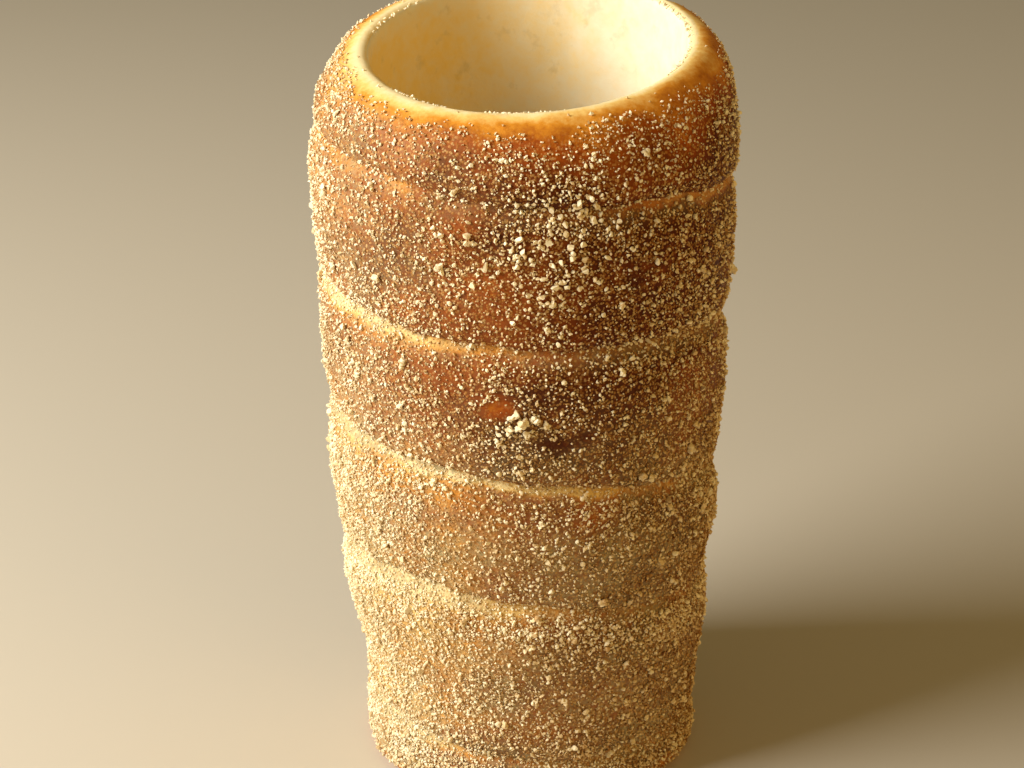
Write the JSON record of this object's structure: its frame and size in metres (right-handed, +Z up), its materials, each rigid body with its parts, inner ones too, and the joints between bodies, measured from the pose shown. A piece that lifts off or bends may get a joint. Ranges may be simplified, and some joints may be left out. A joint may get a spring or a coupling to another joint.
{
  "type": "chimney cake",
  "caption": "Tall hollow roll of baked sweet dough, wound as a spiral strip round a tapered bore open at both ends, with a crumbed crust and a soft rounded rim.",
  "frame": {"origin": "middle of the outline in X and Y, on the plane the base rests on", "axes": "+Z up along the roll, from the narrow end to the wide end; -Y is the front"},
  "size_m": [0.0806, 0.0812, 0.1515],
  "materials": {
    "baked_crust": "matt baked dough with sugar crumbs, golden to dark brown, pale inside the bore"
  },
  "bodies": {
    "root": {"chimney_cake": "baked_crust"}
  },
  "joints": []
}
